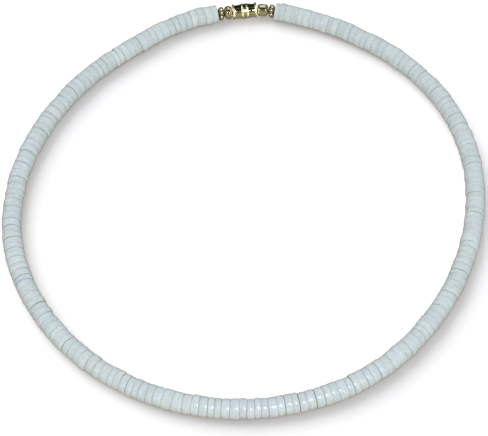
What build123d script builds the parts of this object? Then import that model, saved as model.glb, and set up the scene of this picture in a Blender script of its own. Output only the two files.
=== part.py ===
from build123d import *
import math
import os
import random
from typing import NamedTuple

# A shell necklace that lies fastened on a flat surface, in millimetres. The surface is Z = 0, the
# clasp lies towards +Y and the origin is on the surface under the middle of the loop.

# Thread
NECKLACE_LENGTH = 457.0  # once round along the thread, clasp included
THREAD_DIAMETER = 0.8
THREAD_CLEARANCE = 0.2  # between the thread and the wall of each bore
KNOT_HOLD = 0.5  # by which a knot is wider than the bore that it can't slip through

# Shell discs
BEAD_DIAMETER = 6.2
BEAD_ROOM = 2.2  # mean length of thread that one disc takes up
BEAD_GAP = 0.06  # between two discs at their closest point, the loop's inner side
BEAD_EDGE = 0.22  # chamfer along both rims
BEAD_SIDE_SHIFT = 0.12  # how far a disc may lie beside the thread
DIAMETER_SPREAD = 0.03  # how far a disc's diameter may differ from the mean, as a share
ROOM_SPREAD = 0.24  # the same for its thickness
WEB_WALL = 0.5  # wall of the web that joins the discs of one run round their bore
DISC_SEED = 11

# Metal pieces on both sides of the clasp
PIECE_GAP = 0.12  # between neighbours along the thread
SPACER_LENGTH = 2.1
SPACER_HUB_DIAMETER = 2.7
GRAIN_DIAMETER = 1.75
GRAIN_CIRCLE_DIAMETER = 3.05
GRAIN_COUNT = 6
GRAIN_TURN = 30.0  # degrees from straight up to the first grain
ROUND_BEAD_LENGTH = 2.65
ROUND_BEAD_DIAMETER = 4.6
ROUND_BEAD_END_DIAMETER = 2.6
LONG_BEAD_LENGTH = 3.55
LONG_BEAD_DIAMETER = 4.1
LONG_BEAD_END_DIAMETER = 2.8
LONG_BEAD_SHOULDER = 1.1  # length of each rounded end

# Barrel clasp, measured outwards from its middle, where the two halves meet
CLASP_LENGTH = 8.1
NECK_DIAMETER = 5.0  # between the two mouth rings
RING_HEIGHT = 0.2  # by which every ring is higher than the neck
RING_WIDTH = 0.5
RING_CROWN = 0.15  # how far a ring's rim is rounded
MOUTH_RING_OFFSET = 0.76  # from the middle to the centre of the ring beside the mouth
BARREL_MOUTH_DIAMETER = 4.9
BARREL_END_DIAMETER = 4.4
BARREL_HOLLOW = 0.06  # how far the barrel's side curves in between the two
MOUTH_GAP = 0.08  # between the two halves
END_WALL = 1.05  # holds the knot
KNOT_END_GAP = 0.05  # between the knot and that wall
KNOT_SIDE_GAP = 0.25  # between the knot and the side of its chamber
STUD_WALL = 0.35  # of the hollow stud, through which the knot is tied
STUD_LENGTH = 1.9
STUD_CLEARANCE = 0.15

# Route of the thread: its corners seen from the loop's middle, anticlockwise from the clasp's left
# side to its right side. The columns are bearing (degrees from +X) and reach (share of the mean
# radius). Every corner is rounded by an arc as large as its two runs allow.
ROUTE = [
    (98.2, 1.019),
    (109.0, 1.003),
    (122.0, 0.967),
    (138.0, 0.972),
    (156.0, 0.985),
    (174.0, 1.013),
    (192.0, 1.036),
    (210.0, 1.036),
    (228.0, 1.030),
    (246.0, 1.020),
    (264.0, 1.010),
    (282.0, 1.003),
    (300.0, 1.000),
    (318.0, 0.988),
    (336.0, 0.988),
    (354.0, 1.003),
    (12.0, 1.027),
    (30.0, 1.040),
    (48.0, 1.035),
    (66.0, 1.022),
    (76.0, 1.022),
    (85.8, 1.0385),
]
LOOP_MIDDLE = (0.005, -0.016)  # of the bearings, as shares of the mean radius, so that the box is centred
CLASP_PLACE = 0.37  # share of the run between the last corner and the first, from the last
ARC_SHARE = 0.45  # of the shorter run, taken by each arc
END_ARC_SHARE = 0.9  # of the run to a knot, which has an arc at one end only

# Mean thickness of the discs in each run, as a share of BEAD_ROOM, in the order of the route. The
# discs at the front of the necklace are the thickest.
RUN_ROOM = [
    1.04, 0.98, 1.02, 1.00, 0.94, 0.97, 1.03, 1.12,
    1.08, 1.00, 0.98, 0.98, 0.96, 0.94, 1.01, 0.97,
]

UP = Vector(0, 0, 1)
BEAD_AXIS_HEIGHT = BEAD_DIAMETER / 2
CLASP_AXIS_HEIGHT = NECK_DIAMETER / 2 + RING_HEIGHT  # the rings rest on the surface
BORE_DIAMETER = THREAD_DIAMETER + 2 * THREAD_CLEARANCE
KNOT_DIAMETER = BORE_DIAMETER + KNOT_HOLD
KNOT_CHAMBER_DIAMETER = KNOT_DIAMETER + 2 * KNOT_SIDE_GAP
STUD_DIAMETER = KNOT_CHAMBER_DIAMETER + 2 * STUD_WALL
KNOT_OFFSET = CLASP_LENGTH / 2 - END_WALL - KNOT_END_GAP - KNOT_DIAMETER / 2
CLASP_EXIT = CLASP_LENGTH / 2 - KNOT_OFFSET


def share_points():
    """The route's corners in shares of the mean radius, about the middle of the necklace's box."""
    points = []
    for bearing, reach in ROUTE:
        angle = math.radians(bearing)
        x = LOOP_MIDDLE[0] + reach * math.cos(angle)
        y = LOOP_MIDDLE[1] + reach * math.sin(angle)
        points.append(Vector(x, y, 0))
    return points


def turn_at(before, corner, after):
    """The angle, in radians, by which the route turns at a corner."""
    return math.radians((corner - before).get_angle(after - corner))


def loop_length(points):
    """Length of a closed route with rounded corners."""
    total = 0.0
    for index, corner in enumerate(points):
        before = points[index - 1]
        after = points[(index + 1) % len(points)]
        cut = ARC_SHARE * min((corner - before).length, (after - corner).length)
        turn = turn_at(before, corner, after)
        total += (corner - before).length - 2 * cut + cut * turn / math.tan(turn / 2)
    return total


MEAN_RADIUS = NECKLACE_LENGTH / loop_length(share_points())


def route_corners():
    """The route's corners at full size. The two beside the clasp lie at the clasp's own height."""
    corners = []
    for point in share_points():
        corners.append(point * MEAN_RADIUS + UP * BEAD_AXIS_HEIGHT)
    for index in (0, -1):
        corners[index] += UP * (CLASP_AXIS_HEIGHT - BEAD_AXIS_HEIGHT)
    return corners


def arc_radii(points):
    """Radius of the arc at each corner between the first and the last point."""
    radii = []
    last = len(points) - 2
    for index in range(1, last + 1):
        before, corner, after = points[index - 1 : index + 2]
        share_before = END_ARC_SHARE if index == 1 else ARC_SHARE
        share_after = END_ARC_SHARE if index == last else ARC_SHARE
        cut = min(share_before * (corner - before).length, share_after * (after - corner).length)
        radii.append(cut / math.tan(turn_at(before, corner, after) / 2))
    return radii


CORNERS = route_corners()
CLASP_LINE = CORNERS[0] - CORNERS[-1]
CLASP_MIDDLE = CORNERS[-1] + CLASP_LINE * CLASP_PLACE
TO_LEFT = CLASP_LINE.normalized()
LEFT_KNOT = CLASP_MIDDLE + TO_LEFT * KNOT_OFFSET
RIGHT_KNOT = CLASP_MIDDLE - TO_LEFT * KNOT_OFFSET
THREAD_POINTS = [LEFT_KNOT, *CORNERS, RIGHT_KNOT]
THREAD_RADII = arc_radii(THREAD_POINTS)

with BuildLine() as thread_route:
    FilletPolyline(*THREAD_POINTS, radius=THREAD_RADII)
THREAD_WIRE = thread_route.wires()[0]
THREAD_LENGTH = THREAD_WIRE.length


def point_at(distance):
    """A point of the thread, at a distance from its left knot."""
    return THREAD_WIRE.position_at(distance, PositionMode.LENGTH)


def heading_at(distance):
    """The thread's direction there."""
    return THREAD_WIRE.tangent_at(distance, PositionMode.LENGTH)


def thread_between(start, end):
    """The stretch of the thread's route between two distances."""
    return THREAD_WIRE.trim(start / THREAD_LENGTH, end / THREAD_LENGTH)


def level_heading_at(distance):
    """The thread's direction seen from above."""
    heading = heading_at(distance)
    return Vector(heading.X, heading.Y, 0).normalized()


def lengthwise_plane(middle, heading):
    """A plane for outlines that are turned about the thread: X along the thread, Y upwards."""
    return Plane(origin=middle, x_dir=heading, z_dir=heading.cross(UP))


def crosswise_plane(middle, heading):
    """A plane for sections across the thread: Z along the thread, X upwards."""
    side = heading.cross(UP).normalized()
    return Plane(origin=middle, x_dir=side.cross(heading), z_dir=heading)


def places_beside_clasp(knot, step, neighbours):
    """Middles of the pieces next to the clasp. Each row of neighbours is a length and the diameter
    that faces the piece before it, which needs more room where the thread bends between the two."""
    places = []
    edge = knot + step * CLASP_EXIT
    heading = heading_at(knot)
    for length, facing_diameter in neighbours:
        place = edge + step * (PIECE_GAP + length / 2)
        bend = math.radians(heading.get_angle(heading_at(place)))
        place += step * bend * facing_diameter / 2
        places.append(place)
        edge = place + step * length / 2
        heading = heading_at(place)
    return places


class Disc(NamedTuple):
    """A shell disc: its middle's place on the thread, its size, and how far it lies to one side."""

    place: float
    thickness: float
    diameter: float
    shift: float


def draw_discs(shells_start, shells_end):
    """The discs of every run, in the order of the route."""
    draw = random.Random(DISC_SEED)
    run_length = (shells_end - shells_start) / len(RUN_ROOM)
    runs = []
    for number, share in enumerate(RUN_ROOM):
        count = round(run_length / (BEAD_ROOM * share))
        weights = [1 + draw.uniform(-ROOM_SPREAD, ROOM_SPREAD) for _ in range(count)]
        start = shells_start + number * run_length
        discs = []
        for weight in weights:
            room = run_length * weight / sum(weights)
            bend = heading_at(start).get_angle(heading_at(start + room))
            lost_room = math.radians(bend) * BEAD_DIAMETER / 2
            diameter = BEAD_DIAMETER * (1 + draw.uniform(-DIAMETER_SPREAD, DIAMETER_SPREAD))
            shift = draw.uniform(-BEAD_SIDE_SHIFT, BEAD_SIDE_SHIFT)
            discs.append(Disc(start + room / 2, room - lost_room - BEAD_GAP, diameter, shift))
            start += room
        runs.append(discs)
    return runs


def make_shell_run(discs):
    """Drilled discs in a row, each standing on the surface, joined by a thin web round the bore."""
    first, last = discs[0], discs[-1]
    web_line = thread_between(first.place, last.place)
    bore_line = thread_between(first.place - first.thickness, last.place + last.thickness)
    with BuildPart() as run:
        with BuildLine():
            add(web_line)
        with BuildSketch(crosswise_plane(web_line @ 0, web_line % 0)):
            Circle(BORE_DIAMETER / 2 + WEB_WALL)
        sweep()
        for disc in discs:
            heading = level_heading_at(disc.place)
            on_thread = point_at(disc.place)
            standing = Vector(on_thread.X, on_thread.Y, disc.diameter / 2)
            middle = standing + heading.cross(UP) * disc.shift
            face, rim, edge = disc.thickness / 2, disc.diameter / 2, BEAD_EDGE
            with BuildSketch(lengthwise_plane(middle, heading)):
                with BuildLine():
                    Polyline(
                        (-face, 0),
                        (-face, rim - edge),
                        (edge - face, rim),
                        (face - edge, rim),
                        (face, rim - edge),
                        (face, 0),
                        close=True,
                    )
                make_face()
            revolve(axis=Axis(middle, heading))
        with BuildLine():
            add(bore_line)
        with BuildSketch(crosswise_plane(bore_line @ 0, bore_line % 0)):
            Circle(BORE_DIAMETER / 2)
        sweep(mode=Mode.SUBTRACT)
    return run


def make_spacer(place):
    """A flower spacer: a drilled hub inside a ring of round grains."""
    middle, heading = point_at(place), heading_at(place)
    across = crosswise_plane(middle, heading)
    with BuildPart() as spacer:
        with BuildSketch(across):
            Circle(SPACER_HUB_DIAMETER / 2)
        extrude(amount=SPACER_LENGTH / 2, both=True)
        with Locations(across):
            with PolarLocations(GRAIN_CIRCLE_DIAMETER / 2, GRAIN_COUNT, start_angle=GRAIN_TURN):
                Sphere(GRAIN_DIAMETER / 2)
        with BuildSketch(across):
            Circle(BORE_DIAMETER / 2)
        extrude(amount=SPACER_LENGTH, both=True, mode=Mode.SUBTRACT)
    return spacer


def make_round_bead(place):
    """A bead with one rounded side, turned about the thread and drilled."""
    middle, heading = point_at(place), heading_at(place)
    half, end = ROUND_BEAD_LENGTH / 2, ROUND_BEAD_END_DIAMETER / 2
    with BuildPart() as bead:
        with BuildSketch(lengthwise_plane(middle, heading)):
            with BuildLine():
                ThreePointArc((-half, end), (0, ROUND_BEAD_DIAMETER / 2), (half, end))
                Polyline((half, end), (half, 0), (-half, 0), (-half, end))
            make_face()
        revolve(axis=Axis(middle, heading))
        with BuildSketch(crosswise_plane(middle, heading)):
            Circle(BORE_DIAMETER / 2)
        extrude(amount=ROUND_BEAD_LENGTH, both=True, mode=Mode.SUBTRACT)
    return bead


def make_long_bead(place):
    """A straight bead with two rounded ends, turned about the thread and drilled."""
    middle, heading = point_at(place), heading_at(place)
    half, end, side = LONG_BEAD_LENGTH / 2, LONG_BEAD_END_DIAMETER / 2, LONG_BEAD_DIAMETER / 2
    straight = half - LONG_BEAD_SHOULDER
    with BuildPart() as bead:
        with BuildSketch(lengthwise_plane(middle, heading)):
            with BuildLine():
                Line((-straight, side), (straight, side))
                TangentArc((straight, side), (half, end), tangent=(1, 0))
                Polyline((half, end), (half, 0), (-half, 0), (-half, end))
                TangentArc((-straight, side), (-half, end), tangent=(-1, 0))
            make_face()
        revolve(axis=Axis(middle, heading))
        with BuildSketch(crosswise_plane(middle, heading)):
            Circle(BORE_DIAMETER / 2)
        extrude(amount=LONG_BEAD_LENGTH, both=True, mode=Mode.SUBTRACT)
    return bead


def make_clasp_half(outward, is_socket):
    """One half of the barrel clasp. Distances grow outwards from the line where the halves meet."""
    end = CLASP_LENGTH / 2
    half_ring = RING_WIDTH / 2
    barrel_start = MOUTH_RING_OFFSET + half_ring
    barrel_end = end - half_ring
    barrel_middle = (barrel_start + barrel_end) / 2
    waist = (BARREL_MOUTH_DIAMETER + BARREL_END_DIAMETER) / 4 - BARREL_HOLLOW
    ring_top = NECK_DIAMETER / 2 + RING_HEIGHT
    ring_side = ring_top - RING_CROWN
    middle_plane = crosswise_plane(CLASP_MIDDLE, outward)
    with BuildPart() as half:
        with BuildSketch(lengthwise_plane(CLASP_MIDDLE, outward)):
            with BuildLine():
                Polyline(
                    (barrel_end, BARREL_END_DIAMETER / 2),
                    (barrel_end, 0),
                    (MOUTH_GAP / 2, 0),
                    (MOUTH_GAP / 2, NECK_DIAMETER / 2),
                    (MOUTH_RING_OFFSET, NECK_DIAMETER / 2),
                    (MOUTH_RING_OFFSET, ring_side),
                    (barrel_start, ring_side),
                    (barrel_start, BARREL_MOUTH_DIAMETER / 2),
                )
                ThreePointArc(
                    (barrel_start, BARREL_MOUTH_DIAMETER / 2),
                    (barrel_middle, waist),
                    (barrel_end, BARREL_END_DIAMETER / 2),
                )
            make_face()
            for ring in (MOUTH_RING_OFFSET, end - half_ring):
                with BuildLine():
                    Polyline(
                        (ring + half_ring, ring_side),
                        (ring + half_ring, 0),
                        (ring - half_ring, 0),
                        (ring - half_ring, ring_side),
                    )
                    ThreePointArc(
                        (ring - half_ring, ring_side), (ring, ring_top), (ring + half_ring, ring_side)
                    )
                make_face()
        revolve(axis=Axis(CLASP_MIDDLE, outward))
        if is_socket:
            with BuildSketch(middle_plane):
                Circle(STUD_DIAMETER / 2 + STUD_CLEARANCE)
            extrude(amount=STUD_LENGTH + STUD_CLEARANCE, mode=Mode.SUBTRACT)
        else:
            with BuildSketch(middle_plane.offset(-STUD_LENGTH)):
                Circle(STUD_DIAMETER / 2)
            extrude(amount=STUD_LENGTH + MOUTH_RING_OFFSET)
        with BuildSketch(middle_plane.offset(-STUD_LENGTH)):
            Circle(KNOT_CHAMBER_DIAMETER / 2)
        extrude(amount=STUD_LENGTH + end - END_WALL, mode=Mode.SUBTRACT)
        with BuildSketch(middle_plane):
            Circle(BORE_DIAMETER / 2)
        extrude(amount=CLASP_LENGTH, mode=Mode.SUBTRACT)
    return half


def make_thread():
    """The thread through every bore, with a knot inside each clasp half."""
    with BuildPart() as strand:
        with BuildLine():
            add(THREAD_WIRE)
        with BuildSketch(crosswise_plane(THREAD_WIRE @ 0, THREAD_WIRE % 0)):
            Circle(THREAD_DIAMETER / 2)
        sweep()
        section = math.pi * THREAD_DIAMETER**2 / 4
        print(f"thread {strand.part.volume:.2f} mm3, section times length {section * THREAD_LENGTH:.2f}")
        with Locations(LEFT_KNOT, RIGHT_KNOT):
            Sphere(KNOT_DIAMETER / 2)
    return strand


# Places along the thread, from the left knot, outwards from the clasp on each side
left_places = places_beside_clasp(0.0, 1, [
    (ROUND_BEAD_LENGTH, ROUND_BEAD_END_DIAMETER),
    (SPACER_LENGTH, SPACER_HUB_DIAMETER),
    (BEAD_ROOM, SPACER_HUB_DIAMETER),
])
right_places = places_beside_clasp(THREAD_LENGTH, -1, [
    (LONG_BEAD_LENGTH, LONG_BEAD_END_DIAMETER),
    (SPACER_LENGTH, SPACER_HUB_DIAMETER),
    (BEAD_ROOM, SPACER_HUB_DIAMETER),
])
SHELLS_START = left_places[-1] - BEAD_ROOM / 2
SHELLS_END = right_places[-1] + BEAD_ROOM / 2

pieces = {
    "thread": make_thread(),
    "clasp_socket": make_clasp_half(TO_LEFT, is_socket=True),
    "clasp_screw": make_clasp_half(TO_LEFT * -1, is_socket=False),
    "round_bead": make_round_bead(left_places[0]),
    "long_bead": make_long_bead(right_places[0]),
    "spacer_left": make_spacer(left_places[1]),
    "spacer_right": make_spacer(right_places[1]),
}
runs = draw_discs(SHELLS_START, SHELLS_END)
for number, discs in enumerate(runs, start=1):
    pieces[f"shell_run_{number:02d}"] = make_shell_run(discs)

os.makedirs("parts", exist_ok=True)
for name, piece in pieces.items():
    piece.part.label = name
    export_step(piece.part, f"parts/{name}.step")

thicknesses = [disc.thickness for discs in runs for disc in discs]
print("arc radii", [round(radius, 1) for radius in THREAD_RADII])
print(f"mean radius {MEAN_RADIUS:.2f}, {len(thicknesses)} discs")
print(f"disc thickness {min(thicknesses):.2f} to {max(thicknesses):.2f}")
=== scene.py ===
import math
import random

import bpy
import numpy as np
from mathutils import Matrix, Vector, kdtree


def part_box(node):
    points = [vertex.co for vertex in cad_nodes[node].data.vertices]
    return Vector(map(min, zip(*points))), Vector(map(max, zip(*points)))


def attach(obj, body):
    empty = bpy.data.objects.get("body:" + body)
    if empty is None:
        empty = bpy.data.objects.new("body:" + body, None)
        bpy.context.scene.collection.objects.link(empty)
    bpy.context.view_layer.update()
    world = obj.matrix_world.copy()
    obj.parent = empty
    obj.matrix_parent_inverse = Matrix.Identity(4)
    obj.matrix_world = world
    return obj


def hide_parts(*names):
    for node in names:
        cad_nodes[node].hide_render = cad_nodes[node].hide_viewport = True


# Looks of the shell necklace, built round its CAD frame. Lengths are in metres, and sizes that are
# easier to read in millimetres are written as a number times MM.
MM = 0.001

# Route of the thread, as in the part: its corners seen from the loop's middle, anticlockwise from the
# clasp's left side. The columns are bearing (degrees from +X) and reach (share of the mean radius).
ROUTE = [
    (98.2, 1.019),
    (109.0, 1.003),
    (122.0, 0.967),
    (138.0, 0.972),
    (156.0, 0.985),
    (174.0, 1.013),
    (192.0, 1.036),
    (210.0, 1.036),
    (228.0, 1.030),
    (246.0, 1.020),
    (264.0, 1.010),
    (282.0, 1.003),
    (300.0, 1.000),
    (318.0, 0.988),
    (336.0, 0.988),
    (354.0, 1.003),
    (12.0, 1.027),
    (30.0, 1.040),
    (48.0, 1.035),
    (66.0, 1.022),
    (76.0, 1.022),
    (85.8, 1.0385),
]
MEAN_RADIUS = 72.56 * MM
LOOP_MIDDLE = (0.005, -0.016)  # shares of the mean radius
CLASP_PLACE = 0.37  # share of the run between the last corner and the first, from the last
ROUTE_STEPS = 96  # points read from the smooth route for each corner

# Shell discs, drawn as in the part
NECKLACE_LENGTH = 457 * MM
BEAD_DIAMETER = 6.2 * MM
BEAD_ROOM = 2.2 * MM
BEAD_SIDE_SHIFT = 0.12 * MM
DIAMETER_SPREAD = 0.03
ROOM_SPREAD = 0.24
DISC_SEED = 11
RUN_ROOM = [
    1.04, 0.98, 1.02, 1.00, 0.94, 0.97, 1.03, 1.12,
    1.08, 1.00, 0.98, 0.98, 0.96, 0.94, 1.01, 0.97,
]

# What sets one shell disc apart from the next. Pairs are the smallest and the largest, widths round
# a disc are in radians, and WAVES are the fewest and the most waves round it.
LOOK_SEED = 5
DISC_TURNS = 80  # points round a disc
FACE_TILT = 1.3  # degrees, spread of the angle between a joint and the thread
JOINT_GAP = (0.005 * MM, 0.016 * MM)  # from a disc to the joint's middle
END_GAPS = (0.05 * MM, 0.22 * MM)  # by which the first and the last face keep back from the spacers
WEDGE_OPENING = 0.09 * MM  # most by which a face leans away from its joint
OUT_OF_ROUND = 0.012  # share of the radius by which the outline waves
OUTLINE_WAVES = (2, 6)
FLAT_CHANCE = 0.5
FLAT_DEPTH = (0.04 * MM, 0.12 * MM)
FLAT_WIDTH = (0.25, 0.6)
CHIP_CHANCE = 0.25
CHIP_DEPTH = (0.06 * MM, 0.26 * MM)
CHIP_WIDTH = (0.06, 0.2)
EDGE_ROUND = (0.14 * MM, 0.25 * MM)  # rounding of a rim's edge
EDGE_WAVE = 0.45  # share by which it changes round the disc
EDGE_WAVES = (1, 7)
EDGE_BASE = 0.3  # share of it that is left where a joint doesn't show
EDGE_LEAST = 0.05 * MM
EDGE_MOST = 0.3  # share of the disc's thickness
EDGE_STEPS = 5  # rows of points over it
RIM_CROWN = (0.03 * MM, 0.10 * MM)
RIM_CONE = 0.05 * MM  # how far a rim may run out of true across its width
RIM_WAVE = 0.03 * MM
RIM_WAVES = (2, 9)
RIM_ROWS = (-0.55, 0.0, 0.55)  # places of rows across the rim, between its edges at -1 and 1
FACE_ROWS = (0.45, 0.75)  # places of rows on a face, as shares of the radius
BORE_RADIUS = 0.75 * MM  # a little wider than in the part, for the thread to pass freely
BORE_EDGE = 0.1 * MM
GRAIN_SPREAD = 50.0  # reach, each way, of the places in the shell's grain that discs are cut from

# How much the joints show, by bearing in degrees: loosely strung on the left and at the front
JOINTS_SHOWN = [
    (0.0, 0.17),
    (60.0, 0.17),
    (95.0, 0.28),
    (120.0, 0.45),
    (190.0, 0.65),
    (240.0, 0.45),
    (264.0, 0.55),
    (298.0, 0.55),
    (308.0, 0.22),
    (360.0, 0.17),
]

# Joints that stand open, by bearing in degrees, and how wide
OPEN_JOINTS = [
    (271.0, 0.08 * MM),
    (279.0, 0.11 * MM),
    (283.0, 0.13 * MM),
    (287.0, 0.09 * MM),
]

# Shell: its first colour, and colours that come over it. Each of these has the value at which it
# starts, the one at which it is full, its share there, and the colour. Places in the grain are in
# millimetres, and a stretch is along the disc's axis and across it.
SHELL_COLOUR = (0.49, 0.573, 0.597)
GREEN_TONE = (0.2, 0.8, 1.0, (0.50, 0.577, 0.573))
LAVENDER_TONE = (0.15, 0.0, 0.5, (0.517, 0.57, 0.618))
CREAM_TONE = (0.92, 1.0, 0.3, (0.545, 0.58, 0.54))
LAYERS = (0.40, 0.66, 0.55, (0.61, 0.68, 0.70))
LAYER_STRETCH = (1.5, 0.16, 0.16)
GROWTH = (0.45, 0.70, 0.45, (0.68, 0.73, 0.74))
GROWTH_STRETCH = (5.0, 0.35, 0.35)
CLOUDS = (0.45, 0.75, 0.35, (0.61, 0.70, 0.72))
# Painted warm floor bounce and shade, warmer and darker low on every disc
UNDERSIDE_BOUNCE_SHADE = (2.5 * MM, 1.2 * MM, 0.8, (0.50, 0.47, 0.33))  # by height
# Painted shade, dark olive, on the lower half of the discs at the front
FRONT = (20 * MM, -30 * MM)  # along Y, where the painted shade on the front's lower limbs starts and is full
PAINTED_FRONT_SHADE = (5.1 * MM, 1.6 * MM, 0.0, 0.7)  # heights where it starts and is full, and its shares there
PAINTED_FRONT_SHADE_COLOUR = (0.43, 0.42, 0.30)
SPECKLE = (0.955, 1.045)  # darkest and brightest, as a factor
DISC_LIGHT = (1.015, 1.10)  # the same from disc to disc
TONE_SHUFFLE = 7.3  # keeps a disc's light from following its tone
# Dirt and painted shade along the joints: power of the nearness to a joint, shares and colour
JOINT_DIRT_AND_SHADE_POWER = 1.4
JOINT_DIRT_AND_SHADE_SHARE = (0.7, 0.3)  # outside the clouds and in them
JOINT_DIRT_AND_SHADE_COLOUR = (0.25, 0.255, 0.225)
PIT_SCALE = 2.2
PIT_WIDTH = 0.12
PIT_SHARE = 0.35
PIT_COLOUR = (0.30, 0.31, 0.28)
# Unevenness as depth and strength, and roughness as least and most
RIPPLE_BUMP = (0.05 * MM, 0.6)
GROWTH_BUMP = (0.012 * MM, 0.5)
PIT_BUMP = (0.03 * MM, 0.5)
SHELL_ROUGHNESS = (0.16, 0.34)
CLOUD_ROUGHNESS = (0.2, 0.5)

# Metal pieces, in millimetres, as in the part
THREAD_BORE = 0.6  # radius
SPACER_LENGTH = 2.1
SPACER_HUB_DIAMETER = 2.7
GRAIN_DIAMETER = 1.75
GRAIN_CIRCLE_DIAMETER = 3.05
GRAIN_COUNT = 6
GRAIN_TURN = 30.0
ROUND_BEAD_LENGTH = 2.65
ROUND_BEAD_DIAMETER = 4.6
ROUND_BEAD_END_DIAMETER = 2.6
LONG_BEAD_LENGTH = 3.55
LONG_BEAD_DIAMETER = 4.1
LONG_BEAD_END_DIAMETER = 2.8
LONG_BEAD_SHOULDER = 1.1
CLASP_LENGTH = 8.1
NECK_DIAMETER = 5.0
RING_HEIGHT = 0.2
RING_WIDTH = 0.5
MOUTH_RING_OFFSET = 0.76
BARREL_MOUTH_DIAMETER = 4.9
BARREL_END_DIAMETER = 4.4
BARREL_HOLLOW = 0.06
MOUTH_GAP = 0.08
END_WALL = 1.05
KNOT_CHAMBER_RADIUS = 1.1
STUD_RADIUS = 1.45
STUD_LENGTH = 1.9
STUD_CLEARANCE = 0.15

# Their finer shapes, in millimetres
LATHE_TURNS = 128  # points round a turned piece
END_DISH = [(0.0, 2.1), (0.15, 1.9), (0.05, 1.0)]  # depth and radius across the clasp's ends
NECK_FLAT = (0.08, 0.03)  # from the neck's ends to the two points that keep its shading flat
BEAD_END_EDGE = 0.06
METAL_BORE_EDGE = 0.1
HUB_EDGE = 0.12
SOLDER_VOXEL = 0.06  # grid on which a spacer's grains and hub are run together
SOLDER_ROUNDS = 2  # of smoothing after that

# Metal finishes: name, colour, worn colour, and roughness where dull and where smooth
POLISHED_GOLD = ("polished_gold", (0.80, 0.735, 0.46), (0.66, 0.55, 0.28), 0.12, 0.05)
SATIN_GOLD = ("satin_gold", (0.80, 0.74, 0.48), (0.64, 0.57, 0.32), 0.30, 0.18)
WORN = (0.5, 0.75, 1.0)  # noise at which the worn colour starts and is full, and its share there
WEAR_SCALE = 900.0
SCRATCH_STRETCH = (6000.0, 700.0, 6000.0)
SCRATCH_BUMP = (0.002 * MM, 0.2)
RUBBED_COLOUR = (0.86, 0.82, 0.62)
RUBBED_ROUGHNESS = 0.4
RUBBED_RISE = (0.06, 0.06)  # height over the neck where it starts, and how much more to be full
TARNISH_COLOUR = (0.10, 0.085, 0.045)
TARNISH_RISE = (-0.02, 0.08)  # the same as distance from the nearest grain

# Thread
THREAD_COLOURS = ((0.62, 0.62, 0.58), (0.78, 0.78, 0.75))
FIBRE_SCALE = 5000.0
FIBRE_BUMP = (0.02 * MM, 0.5)

# View and light of the photograph
CAMERA_TARGET = Vector((-0.24, -8.73, 3.1)) * MM
CAMERA_DISTANCE = 480 * MM
CAMERA_ELEVATION = 59.5
LENS = 113.1
SENSOR = 36.0
SKY_COLOUR = (0.97, 0.96, 1.0)
SKY_STRENGTH = 0.55
# Suns as bearing, elevation and width in degrees, and strength
FLOOR_KEY = (134.5, 37.0, 67.0, 2.60)
PIECES_KEY = (105.0, 37.0, 67.0, 1.05)
FRONT_LIGHT = (-69.0, 58.0, 30.0, 1.07)
# Lamps as width, power and place
LAMP = (0.25, 0.43, Vector((0.03, -0.42, 0.28)))
GLINT = (0.05, 0.70, Vector((0.08, -0.24, 0.50)))
GLINT_RUNS = (8, 9, 10)  # runs of discs at the front, which alone show it
GLOW_TILT = math.radians(48.0)  # from straight up, away from the camera
GLOW = (1.0, 2.2, Vector((0, math.sin(GLOW_TILT), math.cos(GLOW_TILT))))
SPACER_LIGHT = (0.8, 5.0, Vector((0.1, -0.545, 0.84)))

# Floors: the one that the camera sees also gives a little light itself, as a lit table does
FLOOR_REACH = 3.0
FLOOR_COLOUR = (0.945, 0.94, 0.945)
FLOOR_GLOW = 0.17
BOUNCE_COLOUR = (0.95, 0.91, 0.78)  # of the floor as the shells see it
BOUNCE_DEPTH = 0.01 * MM

# What polished surfaces reflect: a dark room, as (angle from straight up towards the camera's side,
# colour), and its brighter sides
ROOM_BANDS = [
    (-180.0, (0.05, 0.05, 0.05)),
    (-92.0, (0.05, 0.05, 0.05)),
    (-86.0, (0.012, 0.020, 0.015)),
    (-27.0, (0.012, 0.020, 0.015)),
    (-21.0, (0.100, 0.130, 0.110)),
    (-11.0, (0.100, 0.130, 0.110)),
    (-6.0, (0.012, 0.018, 0.015)),
    (53.0, (0.012, 0.018, 0.015)),
    (60.0, (0.38, 0.345, 0.24)),
    (100.0, (0.38, 0.345, 0.24)),
    (180.0, (0.25, 0.25, 0.25)),
]
ROOM_RADIUS = 3.0
ROOM_MESH = (32, 48)  # rings and turns
HORIZON = 0.05  # share of the radius, up and down, over which the sides change at the horizon
SIDE_START, SIDE_FULL = 0.66, 0.82  # share of the radius, sideways, over which the room brightens
SIDE_ABOVE, SIDE_BELOW = 1.3, 0.7
WHITE = (1.0, 1.0, 1.0)
# Bright cards in that room: how far sideways, angle from straight up, width and height in degrees,
# colour and strength
CARDS = [
    (0.28, 33.0, 4.0, 6.0, WHITE, 14.0),
    (0.50, 33.0, 5.0, 7.0, WHITE, 16.0),
    (-0.50, 33.0, 6.0, 8.0, WHITE, 14.0),
    (-0.10, 33.0, 16.0, 9.0, (1.0, 0.85, 0.95), 0.45),
]
CLASP_CARD = (0.14, 33.0, 6.0, 28.0, WHITE, 14.0)  # only the clasp shows it
CARD_DISTANCE = 0.9 * ROOM_RADIUS
# Two bright caps, left and right, that only the clasp's rings see
CAPS_RADIUS = 0.95 * ROOM_RADIUS
CAPS_START = 0.72  # share of that radius, sideways
CAPS_STRENGTH = 2.8

UP = Vector((0, 0, 1))


def route_corners():
    """The route's corners at full size, at the height of the thread."""
    corners = []
    for bearing, reach in ROUTE:
        angle = math.radians(bearing)
        x = LOOP_MIDDLE[0] + reach * math.cos(angle)
        y = LOOP_MIDDLE[1] + reach * math.sin(angle)
        corners.append(Vector((x * MEAN_RADIUS, y * MEAN_RADIUS, BEAD_DIAMETER / 2)))
    return corners


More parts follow.
